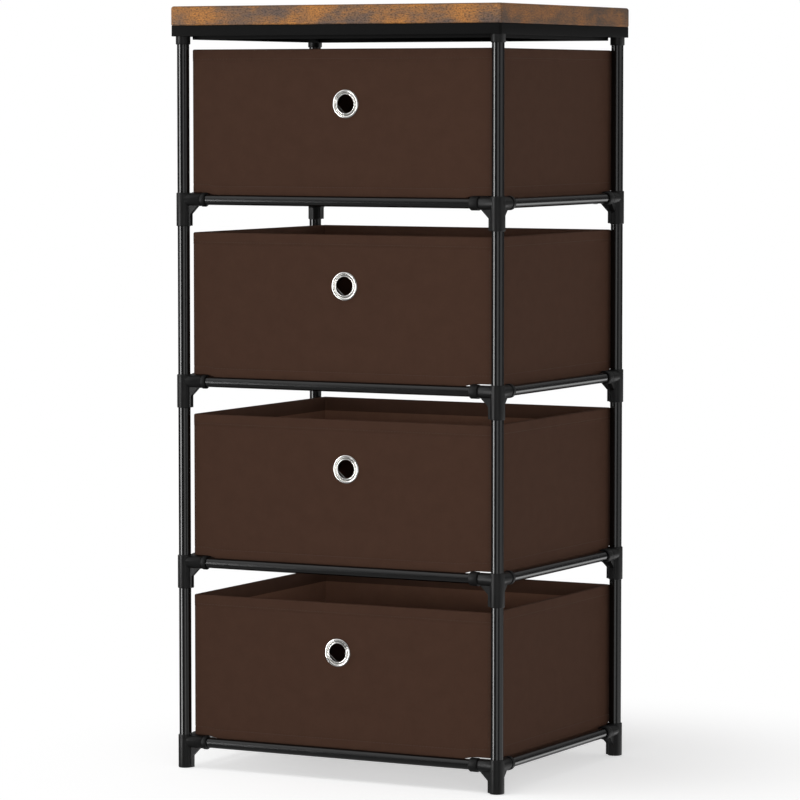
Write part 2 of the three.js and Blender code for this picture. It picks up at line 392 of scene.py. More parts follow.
@dataclass(frozen=True)
class WoodPrint(Finish):
    """Rustic brown wood print, read along the board's UV map with the grain along u."""

    name: str = "rustic_print"
    ash: Colour = linear(106, 86, 74)
    umber: Colour = linear(130, 98, 72)
    tan: Colour = linear(162, 112, 65)
    amber: Colour = linear(192, 127, 58)
    crack: Colour = linear(30, 20, 14)
    depth: float = 0.06 * MM

    def make(self, shading: Shading) -> Material:
        """Lays out the nodes.

        Args:
            shading: The material's empty tree.

        Returns:
            The material.
        """
        flat = shading.place("UV")
        sway = shading.clouds(flat, 26.0, stretch=(1.0, 2.4, 1.0))
        patches = shading.clouds(flat, 17.0, 4.0, 0.6, (1.0, 1.5, 1.0))
        streaks = shading.clouds(flat, 70.0, 6.0, 0.62, (1.0, 6.0, 1.0))
        fibres = shading.clouds(flat, 430.0, 5.0, 0.72, (1.0, 1.7, 1.0))
        rings = shading.clouds(flat, 22.0, 3.0, stretch=(1.0, 7.0, 1.0))
        lines = ((rings * 46.0 + 3.0 * sway).sine() * 0.5 + 0.5).ramp(0.1, 0.95)
        tone = (patches + 0.1 * (streaks - 0.5) + 0.04 * (lines - 0.5)).ramp(0.38, 0.62, False)
        stops = [(0.0, self.ash), (0.3, self.umber), (0.6, self.tan), (1.0, self.amber)]
        ground = shading.add("ShaderNodeValToRGB", {"stops": stops}, {"Fac": tone})
        speckle = fibres.ramp(0.36, 0.56)
        shaded = shading.mixed(0.78 * (1.0 - speckle), ground, self.crack)
        split = shading.clouds(flat, 34.0, 5.0, 0.7, (1.0, 14.0, 1.0))
        cracks = (1.0 - (split - 0.5).size().ramp(0.0, 0.02)) * patches.ramp(0.35, 0.6)
        colour = shading.mixed(0.5 * cracks, shaded, self.crack)
        normal = shading.relief(0.6 * fibres + 0.4 * streaks, self.depth, 0.7)
        return shading.surface(colour, 0.52 + 0.12 * speckle, normal, specular=0.3)


@dataclass(frozen=True)
class NonWoven(Finish):
    """Embossed non-woven cloth, read along the piece's UV map in metres."""

    name: str
    colour: Colour
    faded: Colour
    pitch: float = 1.3 * MM
    depth: float = 0.09 * MM

    def make(self, shading: Shading) -> Material:
        """Lays out the nodes.

        Args:
            shading: The material's empty tree.

        Returns:
            The material.
        """
        flat = shading.place("UV")
        across, along = ((shading.axis(flat, name) * (FULL_TURN / self.pitch)).sine() for name in "XY")
        dots = (across * along).ramp(-0.2, 0.75)
        fibres = shading.clouds(flat, 2600.0, 3.0, 0.7)
        strands = shading.clouds(flat, 520.0, 3.0, 0.6, (1.0, 4.0, 1.0))
        mottle = shading.clouds(flat, 60.0, 5.0, 0.65).ramp(0.25, 0.75, False)
        tone = (0.22 * mottle + 0.48 * fibres + 0.3 * strands).ramp(0.2, 0.8, False)
        colour = shading.mixed(tone, self.colour, self.faded)
        normal = shading.relief(0.5 * dots + 0.3 * fibres + 0.2 * strands, self.depth, 0.8)
        return shading.surface(colour, 0.86 + 0.1 * fibres, normal, specular=0.06)


@dataclass(frozen=True)
class Thread(Finish):
    """Brown sewing thread with a fine twist and a painted highlight from a lit shade of its colour."""

    name: str = "sewing_thread"
    colour: Colour = linear(52, 37, 29)
    lit: Colour = linear(72, 52, 41)
    twists: float = 3400.0
    depth: float = 0.03 * MM

    def make(self, shading: Shading) -> Material:
        """Lays out the nodes.

        Args:
            shading: The material's empty tree.

        Returns:
            The material.
        """
        twist = shading.clouds(shading.place(), self.twists)
        # Painted highlight: the twist noise mixes in the lit shade of the thread.
        colour = shading.mixed(twist, self.colour, self.lit)
        return shading.surface(colour, 0.75 + 0.15 * twist, shading.relief(twist, self.depth))


@dataclass(frozen=True)
class Plating(Finish):
    """Bright nickel plate with faint handling marks."""

    name: str = "bright_plate"
    colour: Colour = linear(226, 225, 222)
    dulled: Colour = linear(176, 174, 170)
    mark_grains: float = 420.0
    wave_grains: float = 160.0
    depth: float = 0.02 * MM

    def make(self, shading: Shading) -> Material:
        """Lays out the nodes.

        Args:
            shading: The material's empty tree.

        Returns:
            The material.
        """
        place = shading.place()
        marks = shading.clouds(place, self.mark_grains, 5.0, 0.7).ramp(0.48, 0.8)
        normal = shading.relief(shading.clouds(place, self.wave_grains), self.depth)
        colour = shading.mixed(0.5 * marks, self.colour, self.dulled)
        return shading.surface(colour, 0.1 + 0.12 * marks, normal, metallic=1.0)


ENAMEL = TubeEnamel()
PLASTIC = MouldedPlastic()
COLLAR = MouldedPlastic("moulded_collar", linear(9, 9, 9), linear(16, 16, 16), 0.5)
SHEET = SheetCoat()
WOOD = WoodPrint()
# A darker copy of the print, for the board's ends and, as painted shade, for its top arris.
DARKER_WOOD = WoodPrint("rustic_print_darker", linear(90, 69, 55), linear(109, 79, 54), linear(134, 91, 53),
                     linear(152, 99, 48), linear(22, 14, 9))
CLOTH = NonWoven("bin_cloth", linear(60, 41, 32), linear(76, 54, 43))
# Painted light: the inside of the cloth and the floor card take a lighter copy of the cloth, standing in for
# light that the bins' insides lack.
LIT_LINING = NonWoven("bin_lining_painted_lighter", linear(98, 69, 55), linear(121, 88, 71))
THREAD = Thread()
PLATE = Plating()


@dataclass(frozen=True)
class Station:
    """A point of a level path, with the way outwards there and the length walked so far."""

    spot: Vector
    out: Vector
    mitre: Vector
    slack: float
    along: float

    def moved(self, offset: float) -> Pair:
        """Moves the station outwards, or inwards along the mitre where a corner has no slack left."""
        square = max(offset, -self.slack)
        return tuple(self.spot + square * self.out + (offset - square) * self.mitre)


def rounded_path(half_x: float, half_y: float, radius: float, spacing: float, steps: int,
                 least: float = 0.0) -> list[Station]:
    """Walks anticlockwise round a rectangle with round corners, from the left end of its front.

    Args:
        half_x: Half the width.
        half_y: Half the depth.
        radius: Radius of the corners.
        spacing: Widest step along the straight sides.
        steps: Steps round each corner.
        least: Radius that a corner keeps when the path is drawn in.

    Returns:
        The stations of the closed path.
    """
    places: list[tuple[Vector, Vector, Vector | None]] = []
    start = Vector((radius - half_x, -half_y))
    mitre = Vector((-1.0, -1.0))
    for quarter, corner in enumerate(((1, -1), (1, 1), (-1, 1), (-1, -1)), -1):
        centre = Vector((corner[0] * (half_x - radius), corner[1] * (half_y - radius)))
        angles = (quarter + np.linspace(0, 1, steps + 1)) * QUARTER_TURN
        outs = [Vector((math.cos(angle), math.sin(angle))) for angle in angles]
        end = centre + radius * outs[0]
        count = max(1, math.ceil((end - start).length / spacing))
        places += [(start.lerp(end, k / count), outs[0], None if k else mitre) for k in range(count)]
        mitre = Vector(corner)
        places += [(centre + radius * out, out, mitre) for out in outs[:-1]]
        start = centre + radius * outs[-1]
    stations = []
    along = 0.0
    before = places[0][0]
    for spot, out, mitre in places:
        along += (spot - before).length
        before = spot
        slack = radius - least if mitre else math.inf
        stations.append(Station(spot, out, mitre or Vector((0.0, 0.0)), slack, along))
    return stations


def arc(centre: Pair, radii: Pair, start: float, end: float, count: int) -> list[Pair]:
    """Gives points along an ellipse from one angle to another, by its middle and its radii."""
    angles = np.linspace(start, end, count)
    return [(centre[0] + radii[0] * math.cos(a), centre[1] + radii[1] * math.sin(a)) for a in angles]


def rounded_edge(radius: float, height: float, steps: int, upper: bool = False) -> list[Pair]:
    """Gives offsets and heights up the round edge where a wall ends, its lower or its upper one."""
    start, middle = (0.0, height - radius) if upper else (-QUARTER_TURN, height + radius)
    return arc((-radius, middle), (radius, radius), start, start + QUARTER_TURN, steps + 1)


def eased(outline: Outline, radius: float, steps: int = 3) -> list[Pair]:
    """Rounds the corners of a closed outline.

    Args:
        outline: Corners of the outline.
        radius: Radius of the rounding, less where an edge is short.
        steps: Steps round each corner.

    Returns:
        The outline with round corners.
    """
    shortest = 2.2
    points = [Vector(p) for p in outline]
    result = []
    for before, corner, after in zip(points[-1:] + points, points, points[1:] + points[:1]):
        reach = min(radius, (corner - before).length / shortest, (corner - after).length / shortest)
        start = corner + (before - corner).normalized() * reach
        end = corner + (after - corner).normalized() * reach
        for share in np.linspace(0, 1, steps + 1):
            result.append(tuple(start.lerp(corner, share).lerp(corner.lerp(end, share), share)))
    return result


class Form:
    """Points, faces, finishes and flat lengths of one piece while it is made."""

    def __init__(self) -> None:
        """Starts with nothing."""
        self.points: list[Point] = []
        self.faces: list[Sequence[int]] = []
        self.kinds: list[int] = []
        self.flat: list[Sequence[Pair]] = []

    def ring(self, points: Iterable[Sequence[float]]) -> range:
        """Adds a ring of points.

        Args:
            points: The points in order.

        Returns:
            Their numbers.
        """
        first = len(self.points)
        self.points += map(tuple, points)
        return range(first, len(self.points))

    @staticmethod
    def between(low: range, high: range) -> Iterator[tuple[int, ...]]:
        """Gives the corners of each face between two rings.

        Args:
            low: The first ring, or one point.
            high: The second ring, or one point.

        Yields:
            The corners, on the side of the first ring first.
        """
        count = max(len(low), len(high))
        for step in range(count):
            after = (step + 1) % count
            yield tuple(dict.fromkeys((low[step % len(low)], low[after % len(low)],
                                       high[after % len(high)], high[step % len(high)])))

    def face(self, corners: Sequence[int], flat: Sequence[Pair], kind: int = 0) -> None:
        """Adds a face.

        Args:
            corners: Numbers of its points.
            flat: Their places in the UV map.
            kind: Number of its finish.
        """
        self.faces.append(corners)
        self.flat.append(flat)
        self.kinds.append(kind)

    def facet(self, corners: Sequence[int], kept: bool, axes: tuple[int, int], kind: int = 0) -> None:
        """Adds a face, turned over unless kept, whose flat corners are its places along two axes."""
        corners = corners if kept else corners[::-1]
        self.face(corners, [tuple(self.points[c][axis] for axis in axes) for c in corners], kind)

    def turned(self, outline: Outline, sides: int, place: Matrix, kinds: Sequence[int] = ()) -> "Form":
        """Turns an outline about +Z and sets it in place.

        Args:
            outline: Closed loop of radius and height, outer side upwards, or a line from axis to axis.
            sides: Sides round the axis.
            place: Where the turned form goes.
            kinds: Finish of each stretch of the outline, the first finish where none is given.

        Returns:
            The form.
        """
        rings = []
        for radius, height in outline:
            angles = [FULL_TURN * side / sides for side in range(sides if radius > 0 else 1)]
            rings.append(self.ring(
                place @ Vector((radius * math.cos(a), radius * math.sin(a), height)) for a in angles))
        if outline[0][0] > 0:
            rings.append(rings[0])
        for index, (low, high) in enumerate(zip(rings, rings[1:])):
            radius, height = outline[index]
            width = FULL_TURN * radius / sides
            for side, corners in enumerate(self.between(low, high)):
                flat = [(width * (side + (k in (1, 2))), height) for k in range(len(corners))]
                self.face(corners, flat, kinds[index] if kinds else 0)
        return self

    def swept(self, path: Sequence[Station], outline: Sequence[Point], kinds: Sequence[int],
              lids: Sequence[Sequence[float]] = ()) -> "Form":
        """Carries an outline round a closed level path.

        Args:
            path: Stations of the path.
            outline: Offset outwards, height and flat length of each point.
            kinds: Finish of each stretch of the outline, then of the upper lid.
            lids: Shares of the rings that close it below and above; without them the outline is a loop.

        Returns:
            The form.
        """
        rings = [self.ring((*s.moved(offset), height) for s in path) for offset, height, _ in outline]
        walked = [station.along for station in path]
        walked.append(walked[-1] + (path[-1].spot - path[0].spot).length)
        for index in range(len(outline) - 1 if lids else len(outline)):
            after = (index + 1) % len(outline)
            low, high = outline[index][2], outline[after][2]
            for step, corners in enumerate(self.between(rings[index], rings[after])):
                near, far = walked[step:step + 2]
                self.face(corners, ((near, low), (far, low), (far, high), (near, high)), kinds[index])
        for end, shares in zip((0, -1), lids):
            self.lidded(rings[end], shares, kinds[end], upward=end < 0)
        return self

    def lidded(self, edge: range, shares: Sequence[float], kind: int, upward: bool) -> None:
        """Closes a ring of points with smaller rings towards its middle.

        Args:
            edge: The ring.
            shares: Size of each smaller ring against the first, from large to small.
            kind: Finish of the lid.
            upward: Whether the lid faces up.
        """
        points = [Vector(self.points[number]) for number in edge]
        middle = Vector(np.mean(points, axis=0))
        rings = [edge, *(self.ring(middle.lerp(point, share) for point in points) for share in shares)]
        rings.append(self.ring([middle]))
        for outer, inner in zip(rings, rings[1:]):
            for corners in self.between(outer, inner):
                self.facet(corners, upward, (0, 1), kind)

    def extruded(self, outline: Outline, width: float, place: Matrix) -> "Form":
        """Adds a plate with an outline in X and Z, centred on Y.

        Args:
            outline: Corners of the plate, anticlockwise seen from its front.
            width: Thickness of the plate.
            place: Where the plate goes.

        Returns:
            The form.
        """
        front, back = (self.ring(place @ Vector((x, side * width / 2, z)) for x, z in outline)
                       for side in (-1, 1))
        self.face(front, outline)
        self.face(back[::-1], outline[::-1])
        for corners, near, far in zip(self.between(back, front), outline, outline[1:] + outline[:1]):
            self.face(corners, ((near[0] + width, near[1]), (far[0] + width, far[1]), far, near))
        return self

    def piece(self, name: str, *finishes: Finish) -> Thing:
        """Makes the object, with its UV map, its finishes and its sharp edges.

        Args:
            name: The piece's name.
            finishes: The finishes that the faces' numbers stand for.

        Returns:
            The object, at the origin.
        """
        mesh = bpy.data.meshes.new(name)
        mesh.from_pydata(self.points, [], [tuple(corners) for corners in self.faces])
        flat = mesh.uv_layers.new(name="flat")
        flat.data.foreach_set("uv", np.array([c for f in self.flat for c in f], np.float32).ravel())
        mesh.polygons.foreach_set("material_index", np.array(self.kinds, np.int32))
        for finish in finishes:
            mesh.materials.append(finish.material())
        return placed(name, smoothed(mesh))


def smoothed(mesh: Mesh, angle: float = SHARP_ANGLE) -> Mesh:
    """Shades a mesh smooth, apart from its sharp edges.

    Args:
        mesh: The mesh.
        angle: Least angle of a sharp edge.

    Returns:
        The same mesh.
    """
    mesh.validate()
    mesh.shade_smooth()
    mesh.set_sharp_from_angle(angle=angle)
    mesh.update()
    return mesh


def placed(name: str, mesh: Mesh) -> Thing:
    """Puts a mesh in the scene.

    Args:
        name: Name of the object.
        mesh: Its mesh.

    Returns:
        The object, at the origin.
    """
    piece = bpy.data.objects.new(name, mesh)
    bpy.context.scene.collection.objects.link(piece)
    return piece


def settled(piece: Thing) -> Thing:
    """Turns a piece with modifiers into a plain mesh.

    Args:
        piece: The piece, with its modifiers.

    Returns:
        The same piece, with the result as its mesh.
    """
    evaluated = piece.evaluated_get(bpy.context.evaluated_depsgraph_get())
    mesh = bpy.data.meshes.new_from_object(evaluated)
    mesh.name = piece.name
    piece.modifiers.clear()
    piece.data = mesh
    return piece


def combined(piece: Thing, others: Sequence[tuple[str, Thing]]) -> Thing:
    """Joins or cuts a closed piece with others, which are used up.

    Args:
        piece: The piece to work on.
        others: UNION or DIFFERENCE, and the closed form that it is done with.

    Returns:
        The same piece, as a plain mesh.
    """
    for way, other in others:
        step = piece.modifiers.new(way.lower(), "BOOLEAN")
        step.operation = way
        step.object = other
        step.solver = "EXACT"
    settled(piece)
    for _, other in others:
        bpy.data.objects.remove(other)
    smoothed(piece.data)
    return piece


def put(piece: Thing, body: str, slot: str, *nodes: str) -> Thing:
    """Fixes a piece to its body and hides the nodes that it stands for.

    Args:
        piece: The finished piece.
        body: The body that it rides on.
        slot: Its material slot; not used.
        nodes: The nodes that it stands for.

    Returns:
        The same piece.
    """
    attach(piece, body)
    if nodes:
        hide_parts(*nodes)
    log.info("%s on %s, %d faces", piece.name, body, len(piece.data.polygons))
    return piece


class Recipe(Nodes):
    """A Geometry Nodes tree with named inputs that gives a plain mesh."""

    def __init__(self, name: str) -> None:
        """Starts an empty tree.

        Args:
            name: Its name.
        """
        super().__init__(bpy.data.node_groups.new(name, "GeometryNodeTree"))
        self.name = name
        self.tree.interface.new_socket("Mesh", in_out="OUTPUT", socket_type="NodeSocketGeometry")
        self.entry = self.tree.nodes.new("NodeGroupInput")
        self.identifiers: dict[str, str] = {}

    def inputs(self, kind: str, *names: str) -> list[Signal]:
        """Adds named inputs.

        Args:
            kind: The end of their socket type, such as Float.
            names: The inputs' names.

        Returns:
            The inputs as signals.
        """
        for name in names:
            made = self.tree.interface.new_socket(name, in_out="INPUT", socket_type=f"NodeSocket{kind}")
            self.identifiers[name] = made.identifier
        return [Signal(self, self.find(self.entry.outputs, self.identifiers[name])) for name in names]

    def close(self, geometry: Signal) -> None:
        """Ends the tree in real geometry with its material.

        Args:
            geometry: What the tree makes.
        """
        real = self.add("GeometryNodeRealizeInstances", None, {"Geometry": geometry})
        sockets = {"Geometry": real, "Material": self.inputs("Material", "Material")[0]}
        self.add("NodeGroupOutput", None, {0: self.add("GeometryNodeSetMaterial", None, sockets)})

    def run(self, name: str, finish: Finish, points: Sequence[Point] = (),
            edges: Sequence[Edge] = (), **values: float) -> Thing:
        """Runs the tree on points and the lines between them.

        Args:
            name: The piece's name.
            finish: The piece's finish.
            points: Points that the tree starts from, where it needs any.
            edges: Lines between the points.
            values: Values of the named inputs.

        Returns:
            The result as an object at the origin.
        """
        base = bpy.data.meshes.new(name)
        base.from_pydata(points, edges, [])
        piece = placed(name, base)
        step = piece.modifiers.new(self.name, "NODES")
        step.node_group = self.tree
        step[self.identifiers["Material"]] = finish.material()
        for key, value in values.items():
            step[self.identifiers[key]] = value
        settled(piece)
        smoothed(piece.data)
        return piece


class TubeRecipe(Recipe):
    """A tube about +Z, as a rounded wall section carried round a circle."""

    def __init__(self, sides: int = 48, rim_steps: int = 3) -> None:
        """Lays out the tree.

        Args:
            sides: Sides round the tube.
            rim_steps: Steps on each rim's rounding.
        """
        super().__init__("drawn_tube")
        radius, wall, length, rim = self.inputs("Float", "Radius", "Wall", "Length", "Rim")
        path = self.add("GeometryNodeCurvePrimitiveCircle", None, {"Resolution": sides, "Radius": radius})
        section = self.add("GeometryNodeCurvePrimitiveQuadrilateral", None, {"Width": wall, "Height": length})
        rounding = {"Curve": section, "Count": rim_steps, "Radius": rim, "Limit Radius": True}
        rounded = self.add("GeometryNodeFilletCurve", {"mode": "POLY"}, rounding)
        self.close(self.add("GeometryNodeCurveToMesh", None, {"Curve": path, "Profile Curve": rounded}))


class StitchRecipe(Recipe):
    """Rows of lock stitches along lines, each a slim bead of thread."""

    def __init__(self, slant: float = 0.05) -> None:
        """Lays out the tree.

        Args:
            slant: Widest angle between a stitch and its line.
        """
        super().__init__("stitch_row")
        line = self.inputs("Geometry", "Line")[0]
        pitch, length, thickness = self.inputs("Float", "Pitch", "Length", "Thickness")
        seed = self.inputs("Int", "Seed")[0]
        curve = self.add("GeometryNodeMeshToCurve", None, {"Mesh": line})
        points = self.add("GeometryNodeResampleCurve", {"mode": "LENGTH"}, {"Curve": curve, "Length": pitch})
        tangent = self.add("GeometryNodeInputTangent")
        turned = self.add("FunctionNodeAlignRotationToVector", {"axis": "X"}, {"Vector": tangent})
        spread = {"Min_001": -slant, "Max_001": slant, "Seed": seed}
        skew = self.add("FunctionNodeRandomValue", {"data_type": "FLOAT"}, spread, "Value_001")
        twist = self.add("FunctionNodeEulerToRotation", None, {"Euler": self.vector(Z=skew)})
        facing = self.add("FunctionNodeRotateRotation", {"rotation_space": "LOCAL"},
                          {"Rotation": turned, "Rotate By": twist})
        bead = self.add("GeometryNodeMeshUVSphere", None, {"Segments": 6, "Rings": 4, "Radius": 1.0})
        size = self.vector(X=length, Y=thickness, Z=thickness)
        slim = self.add("GeometryNodeTransform", None, {"Geometry": bead, "Scale": size})
        self.close(self.add("GeometryNodeInstanceOnPoints", None,
                            {"Points": points, "Instance": slim, "Rotation": facing}))


class ScrewRecipe(Recipe):
    """Pan-head screws with a cross recess, one on each point, heads down."""

    def __init__(self, dome: float = 0.35, long_arm: float = 1.1, short_arm: float = 0.24) -> None:
        """Lays out the tree.

        Args:
            dome: Height of the head's dome against its radius.
            long_arm: Length of the cross against the radius.
            short_arm: Width of the cross against the radius.
        """
        super().__init__("screw_set")
        points = self.inputs("Geometry", "Points")[0]
        radius, height = self.inputs("Float", "Radius", "Height")
        pan = self.add("GeometryNodeMeshCylinder", None, {"Vertices": 20, "Radius": radius, "Depth": height})
        crown = self.add("GeometryNodeMeshUVSphere", None, {"Segments": 20, "Rings": 10, "Radius": radius})
        squat = {"Geometry": crown, "Scale": (1.0, 1.0, dome), "Translation": self.vector(Z=height * -0.5)}
        cap = self.add("GeometryNodeTransform", None, squat)
        cut = self.add("GeometryNodeMeshBoolean", {"operation": "UNION"}, {"Mesh 2": pan})
        self.tree.links.new(cap.socket, cut.socket.node.inputs["Mesh 2"])
        for long, short in ("XY", "YX"):
            size = self.vector(**{long: radius * long_arm, short: radius * short_arm, "Z": height})
            block = {"Geometry": self.add("GeometryNodeMeshCube", None, {"Size": size}),
                     "Translation": self.vector(Z=height * -1.0)}
            meshes = {"Mesh 1": cut, "Mesh 2": self.add("GeometryNodeTransform", None, block)}
            cut = self.add("GeometryNodeMeshBoolean", {"operation": "DIFFERENCE"}, meshes)
        self.close(self.add("GeometryNodeInstanceOnPoints", None, {"Points": points, "Instance": cut}))


class Span:
    """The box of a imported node."""

    def __init__(self, node: str) -> None:
        """Reads a box from the frame.

        Args:
            node: The node that has it.
        """
        self.low, self.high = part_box(node)
        self.middle = (self.low + self.high) / 2
        self.size = self.high - self.low


class Corner(Enum):
    """The corners of the rack, by the quarter turns of the connector there."""

    FRONT_LEFT, FRONT_RIGHT, BACK_RIGHT, BACK_LEFT = range(4)

    @property
    def label(self) -> str:
        """The corner's name in the frame."""
        return self.name.lower()


class Run(Enum):
    """The sides of the rack that a rail runs along."""

    FRONT, BACK, LEFT, RIGHT = "front", "back", "left", "right"

    @property
    def tilt(self) -> Euler:
        """How the rail is turned from upright."""
        return Euler((0, QUARTER_TURN, 0) if self in (Run.FRONT, Run.BACK) else (QUARTER_TURN, 0, 0))


@dataclass
class TubeRack:
    """Posts and rails of drawn tube."""

    post_wall: float = 0.9 * MM
    rail_wall: float = 0.8 * MM
    rim_rounding: float = 0.3 * MM
    crease: float = math.radians(12)
    tube: TubeRecipe = field(default_factory=TubeRecipe)

    def build(self) -> None:
        """Makes the posts, then the rails of each tier."""
        for corner in Corner:
            self.drawn(f"post_{corner.label}", self.post_wall, Euler())
        for tier in TIERS:
            for run in Run:
                self.drawn(f"rail_{tier}_{run.value}", self.rail_wall, run.tilt)

    def drawn(self, node: str, wall: float, tilt: Euler) -> None:
        """Makes one tube where its node is.

        Args:
            node: The node that it stands for.
            wall: Thickness of the tube's wall.
            tilt: How the tube is turned from upright.
        """
        span = Span(node)
        _, across, length = sorted(span.size)
        piece = self.tube.run(f"{node}_enamelled", ENAMEL, Radius=(across - wall) / 2, Wall=wall,
                              Length=length, Rim=self.rim_rounding)
        piece.data.transform(Matrix.Translation(span.middle) @ tilt.to_matrix().to_4x4())
        smoothed(piece.data, self.crease)
        put(piece, "rack", "black_tube", node)


def rod(radius: float, start: float, end: float, place: Matrix, *finishes: Finish) -> Thing:
    """Makes a round cutter between two lengths of its axis, with the finishes of what it cuts."""
    outline = [(0.0, start), (radius, start), (radius, end), (0.0, end)]
    return Form().turned(outline, 48, place).piece("cutter", *finishes)


@dataclass
class CornerConnector:
    """A moulded sleeve with two rail sockets and their webs, short arm along +X and long arm along +Y."""

    is_foot: bool
    sleeve_radius: float = 7.6 * MM
    sleeve_height: float = 35 * MM
    sleeve_rounding: float = 0.9 * MM
    post_bore: float = 6.7 * MM
    foot_floor: float = 3 * MM
    arm_radius: float = 6.7 * MM
    arm_drop: float = 0.5 * MM
    arm_lengths: Pair = (23 * MM, 20.5 * MM)
    collar_lengths: Pair = (5 * MM, 9.5 * MM)
    neck_radius: float = 5.9 * MM
    neck_length: float = 1.2 * MM
    collar_radius: float = 7.3 * MM
    rail_bore: float = 5.7 * MM
    socket_start: float = 8.1 * MM
    web_width: float = 5 * MM
    web_reach: float = 9.4 * MM
    web_foot: float = 12.8 * MM
    gusset_reach: float = 19 * MM
    gusset_embed: float = 1.5 * MM
    edge_width: float = 0.35 * MM
    edge_angle: float = math.radians(35)
    overrun: float = 2 * MM

    @property
    def arm_height(self) -> float:
        """Height of the arms' axis above the sleeve's foot."""
        return self.sleeve_height - self.arm_drop - self.arm_radius

    def sleeve(self) -> Thing:
        """Makes the solid sleeve with round rims.

        Returns:
            The sleeve.
        """
        radius, top = self.sleeve_radius, self.sleeve_height
        body = eased([(radius, 0.0), (radius, top), (0.0, top), (0.0, 0.0)], self.sleeve_rounding, 4)
        outline = [(0.0, 0.0), *(point for point in body if point[0] > radius / 2), (0.0, top)]
        return Form().turned(outline, 48, Matrix()).piece("sleeve", PLASTIC, COLLAR)

    def arm(self, length: float, collar: float, turn: float) -> Thing:
        """Makes one solid arm with its neck and collar.

        Args:
            length: Length of the arm's body from the post's axis.
            collar: Length of the collar after it.
            turn: The arm's turn about +Z.

        Returns:
            The arm.
        """
        body, neck, mouth = self.arm_radius, self.neck_radius, self.collar_radius
        end = length + collar
        shoulder = length - self.neck_length
        ease = self.edge_width
        outline = [
            (0.0, 0.0), (body, 0.0), (body, shoulder - 2 * ease), (body - ease, shoulder - ease / 2),
            (neck + ease, shoulder), (neck, shoulder + ease), (neck, length - ease), (neck + ease, length),
            (mouth - 1.5 * ease, length), (mouth - ease / 2, length + ease / 2), (mouth, length + 1.5 * ease),
            (mouth, end - 2.5 * ease), (mouth - ease, end - ease), (mouth - 2.5 * ease, end), (0.0, end),
        ]
        neck_start = 5
        kinds = [int(index >= neck_start) for index in range(len(outline) - 1)]
        return Form().turned(outline, 40, self.level(turn), kinds).piece("arm", PLASTIC, COLLAR)

    def level(self, turn: float) -> Matrix:
        """Lays +Z along an arm's axis."""
        lift = Matrix.Translation((0, 0, self.arm_height))
        return Matrix.Rotation(turn, 4, "Z") @ lift @ Matrix.Rotation(QUARTER_TURN, 4, "Y")

    def web(self, turn: float) -> Thing:
        """Makes the web under an arm, down to the sleeve's foot.

        Args:
            turn: The arm's turn about +Z.

        Returns:
            The web.
        """
        under = self.arm_height - self.arm_radius + self.gusset_embed
        lift = self.overrun / 4
        outline = [(0.0, lift), (self.web_reach, lift), (self.web_reach, self.web_foot),
                   (self.gusset_reach, under), (self.gusset_reach, self.arm_height), (0.0, self.arm_height)]
        place = Matrix.Rotation(turn, 4, "Z")
        return Form().extruded(outline, self.web_width, place).piece("web", PLASTIC, COLLAR)

    def mould(self) -> Mesh:
        """Joins, bores and eases the connector.

        Returns:
            Its mesh, about the post's axis with the sleeve's foot at height 0.
        """
        turns = (0.0, QUARTER_TURN)
        steps = [("UNION", self.arm(*sizes)) for sizes in zip(self.arm_lengths, self.collar_lengths, turns)]
        steps += [("UNION", self.web(turn)) for turn in turns]
        low = self.foot_floor if self.is_foot else -self.overrun
        post = rod(self.post_bore, low, self.sleeve_height + self.overrun, Matrix(), PLASTIC, COLLAR)
        steps.append(("DIFFERENCE", post))
        reach = max(self.arm_lengths) + max(self.collar_lengths) + self.overrun
        for turn in turns:
            socket = rod(self.rail_bore, self.socket_start, reach, self.level(turn), PLASTIC, COLLAR)
            steps.append(("DIFFERENCE", socket))
        body = combined(self.sleeve(), steps)
        edge = body.modifiers.new("edge", "BEVEL")
        edge.width = self.edge_width
        edge.segments = 2
        edge.limit_method = "ANGLE"
        edge.angle_limit = self.edge_angle
        edge.harden_normals = True
        mesh = settled(body).data
        bpy.data.objects.remove(body)
        return mesh

    @classmethod
    def build(cls) -> None:
        """Sets a connector on each post at each tier."""
        foot, sleeve = (cls(is_foot).mould() for is_foot in (True, False))
        for tier in TIERS:
            label, mesh = ("foot_connector", foot) if tier == 1 else (f"connector_{tier}", sleeve)
            for corner in Corner:
                node = f"{label}_{corner.label}"
                post = Span(f"post_{corner.label}").middle
                spot = Matrix.Translation((post.x, post.y, Span(node).low.z))
                piece = placed(f"{node}_moulded", mesh.copy())
                piece.data.transform(spot @ Matrix.Rotation(corner.value * QUARTER_TURN, 4, "Z"))
                put(piece, "rack", "black_plastic", node)


